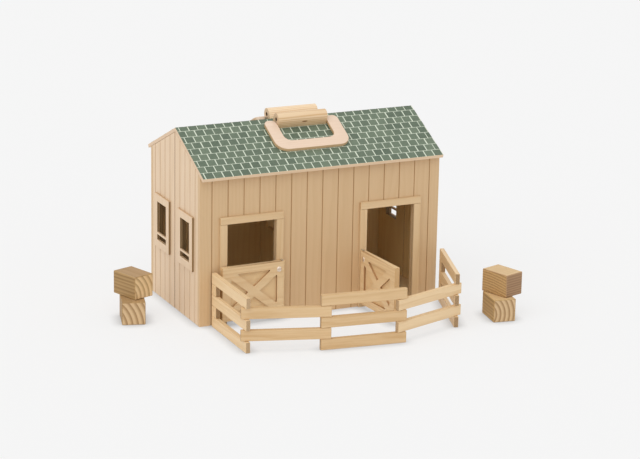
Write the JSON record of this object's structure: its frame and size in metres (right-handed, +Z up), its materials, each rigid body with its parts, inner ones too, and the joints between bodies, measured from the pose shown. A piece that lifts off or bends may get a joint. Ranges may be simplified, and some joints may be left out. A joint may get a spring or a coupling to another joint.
{
  "type": "toy horse stable",
  "caption": "Wooden toy horse stable whose back half swings open, with braced half doors, fold-up roof handles, gable windows, a folding rail fence and stacked bale blocks.",
  "frame": {"origin": "on the ground under the middle of the ridge, on the underside of the front floor board", "axes": "+X runs along the ridge to the right, towards the end with the hinge; -Y faces out of the side with the stall doors; +Z up"},
  "size_m": [0.4946, 0.3339, 0.2536],
  "materials": {
    "front_wall": "clear-finished plywood with milled grooves",
    "front_floor": "clear-finished pale pine",
    "front_roof": "plywood printed with dull green shingles",
    "front_ridge_block": "clear-finished pale pine",
    "front_handle": "smooth clear-finished hardwood",
    "front_handle_rod": "bright plain steel",
    "front_hinge_leaf": "brass-plated steel",
    "front_left_gable": "clear-finished plywood with milled grooves",
    "front_left_window_frame": "clear-finished plywood with milled grooves",
    "front_right_gable": "clear-finished plywood with milled grooves",
    "front_right_window_frame": "clear-finished plywood with milled grooves",
    "back_wall": "clear-finished plywood with milled grooves",
    "back_floor": "clear-finished pale pine",
    "back_roof": "plywood printed with dull green shingles",
    "back_ridge_block": "clear-finished pale pine",
    "back_handle": "smooth clear-finished hardwood",
    "back_handle_rod": "bright plain steel",
    "back_hinge_leaf": "brass-plated steel",
    "back_left_gable": "clear-finished plywood with milled grooves",
    "back_left_window_frame": "clear-finished plywood with milled grooves",
    "back_right_gable": "clear-finished plywood with milled grooves",
    "back_right_window_frame": "clear-finished plywood with milled grooves",
    "left_stall_head": "clear-finished pale pine",
    "left_outer_stile": "clear-finished pale pine",
    "left_inner_stile": "clear-finished pale pine",
    "left_door": "clear-finished pale pine",
    "left_door_pin": "bright plain steel",
    "left_lower_bale": "darker stained block, grain showing",
    "left_upper_bale": "darker stained block, grain showing",
    "right_stall_head": "clear-finished pale pine",
    "right_outer_stile": "clear-finished pale pine",
    "right_inner_stile": "clear-finished pale pine",
    "right_door": "clear-finished pale pine",
    "right_door_pin": "bright plain steel",
    "right_lower_bale": "darker stained block, grain showing",
    "right_upper_bale": "darker stained block, grain showing",
    "stall_divider": "clear-finished plywood with milled grooves",
    "fence_1_bottom_rail": "clear-finished pine strip",
    "fence_1_middle_rail": "clear-finished pine strip",
    "fence_1_top_rail": "clear-finished pine strip",
    "fence_1_lower_spacer": "clear-finished pine strip",
    "fence_1_upper_spacer": "clear-finished pine strip",
    "fence_2_lower_rail": "clear-finished pine strip",
    "fence_2_upper_rail": "clear-finished pine strip",
    "fence_3_bottom_rail": "clear-finished pine strip",
    "fence_3_middle_rail": "clear-finished pine strip",
    "fence_3_top_rail": "clear-finished pine strip",
    "fence_4_lower_rail": "clear-finished pine strip",
    "fence_4_upper_rail": "clear-finished pine strip",
    "fence_5_bottom_rail": "clear-finished pine strip",
    "fence_5_middle_rail": "clear-finished pine strip",
    "fence_5_top_rail": "clear-finished pine strip",
    "fence_5_lower_spacer": "clear-finished pine strip",
    "fence_5_upper_spacer": "clear-finished pine strip",
    "fence_pin_1": "bright plain steel",
    "fence_pin_2": "bright plain steel",
    "fence_pin_3": "bright plain steel",
    "fence_pin_4": "bright plain steel"
  },
  "bodies": {
    "front_half": {"front_wall": "front_wall", "front_floor": "front_floor", "front_roof": "front_roof", "front_ridge_block": "front_ridge_block", "front_handle_rod": "front_handle_rod", "front_hinge_leaf": "front_hinge_leaf", "front_left_gable": "front_left_gable", "front_left_window_frame": "front_left_window_frame", "front_right_gable": "front_right_gable", "front_right_window_frame": "front_right_window_frame", "left_stall_head": "left_stall_head", "left_outer_stile": "left_outer_stile", "left_inner_stile": "left_inner_stile", "left_door_pin": "left_door_pin", "right_stall_head": "right_stall_head", "right_outer_stile": "right_outer_stile", "right_inner_stile": "right_inner_stile", "right_door_pin": "right_door_pin"},
    "back_half": {"back_wall": "back_wall", "back_floor": "back_floor", "back_roof": "back_roof", "back_ridge_block": "back_ridge_block", "back_handle_rod": "back_handle_rod", "back_hinge_leaf": "back_hinge_leaf", "back_left_gable": "back_left_gable", "back_left_window_frame": "back_left_window_frame", "back_right_gable": "back_right_gable", "back_right_window_frame": "back_right_window_frame", "stall_divider": "stall_divider"},
    "front_handle": {"front_handle": "front_handle"},
    "back_handle": {"back_handle": "back_handle"},
    "left_door": {"left_door": "left_door"},
    "right_door": {"right_door": "right_door"},
    "fence_panel_3": {"fence_3_bottom_rail": "fence_3_bottom_rail", "fence_3_middle_rail": "fence_3_middle_rail", "fence_3_top_rail": "fence_3_top_rail", "fence_pin_2": "fence_pin_2", "fence_pin_3": "fence_pin_3"},
    "fence_panel_2": {"fence_2_lower_rail": "fence_2_lower_rail", "fence_2_upper_rail": "fence_2_upper_rail"},
    "fence_panel_1": {"fence_1_bottom_rail": "fence_1_bottom_rail", "fence_1_middle_rail": "fence_1_middle_rail", "fence_1_top_rail": "fence_1_top_rail", "fence_1_lower_spacer": "fence_1_lower_spacer", "fence_1_upper_spacer": "fence_1_upper_spacer", "fence_pin_1": "fence_pin_1"},
    "fence_panel_4": {"fence_4_lower_rail": "fence_4_lower_rail", "fence_4_upper_rail": "fence_4_upper_rail"},
    "fence_panel_5": {"fence_5_bottom_rail": "fence_5_bottom_rail", "fence_5_middle_rail": "fence_5_middle_rail", "fence_5_top_rail": "fence_5_top_rail", "fence_5_lower_spacer": "fence_5_lower_spacer", "fence_5_upper_spacer": "fence_5_upper_spacer", "fence_pin_4": "fence_pin_4"},
    "left_lower_bale": {"left_lower_bale": "left_lower_bale"},
    "left_upper_bale": {"left_upper_bale": "left_upper_bale"},
    "right_lower_bale": {"right_lower_bale": "right_lower_bale"},
    "right_upper_bale": {"right_upper_bale": "right_upper_bale"}
  },
  "joints": [
    {"name": "back_half_swing", "type": "hinge", "parent": "front_half", "child": "back_half", "pos_m": [0.1731, 0, 0.11], "axis": [0, 0, -1], "range_deg": [0, 180]},
    {"name": "left_door_hinge", "type": "hinge", "parent": "front_half", "child": "left_door", "pos_m": [-0.05825, -0.0913, 0.043], "axis": [0, 0, 1], "range_deg": [-1.5, 88.5]},
    {"name": "right_door_hinge", "type": "hinge", "parent": "front_half", "child": "right_door", "pos_m": [0.05825, -0.0913, 0.043], "axis": [0, 0, -1], "range_deg": [-85.5, 14.5]},
    {"name": "front_handle_hinge", "type": "hinge", "parent": "front_half", "child": "front_handle", "pos_m": [0, -0.01402, 0.24061], "axis": [-1, 0, 0], "range_deg": [0, 115]},
    {"name": "back_handle_hinge", "type": "hinge", "parent": "back_half", "child": "back_handle", "pos_m": [0, 0.01402, 0.24061], "axis": [1, 0, 0], "range_deg": [0, 115]},
    {"name": "fence_lift", "type": "slide", "parent": "front_half", "child": "fence_panel_3", "axis": [0, 0, 1], "range_m": [0, 0.1]},
    {"name": "fence_hinge_2", "type": "hinge", "parent": "fence_panel_3", "child": "fence_panel_2", "pos_m": [-0.0569, -0.2226, 0.036], "axis": [0, 0, 1], "range_deg": [0, 60]},
    {"name": "fence_hinge_1", "type": "hinge", "parent": "fence_panel_2", "child": "fence_panel_1", "pos_m": [-0.15245, -0.19371, 0.036], "axis": [0, 0, 1], "range_deg": [0, 160]},
    {"name": "fence_hinge_3", "type": "hinge", "parent": "fence_panel_3", "child": "fence_panel_4", "pos_m": [0.0423, -0.23371, 0.036], "axis": [0, 0, -1], "range_deg": [-4, 15]},
    {"name": "fence_hinge_4", "type": "hinge", "parent": "fence_panel_4", "child": "fence_panel_5", "pos_m": [0.13711, -0.20248, 0.036], "axis": [0, 0, 1], "range_deg": [-32, 6]},
    {"name": "left_lower_bale_lift", "type": "slide", "parent": "front_half", "child": "left_lower_bale", "axis": [0, 0, 1], "range_m": [0, 0.06]},
    {"name": "left_upper_bale_lift", "type": "slide", "parent": "left_lower_bale", "child": "left_upper_bale", "axis": [0, 0, 1], "range_m": [0, 0.06]},
    {"name": "right_lower_bale_lift", "type": "slide", "parent": "front_half", "child": "right_lower_bale", "axis": [0, 0, 1], "range_m": [0, 0.06]},
    {"name": "right_upper_bale_lift", "type": "slide", "parent": "right_lower_bale", "child": "right_upper_bale", "axis": [0, 0, 1], "range_m": [0, 0.06]}
  ]
}
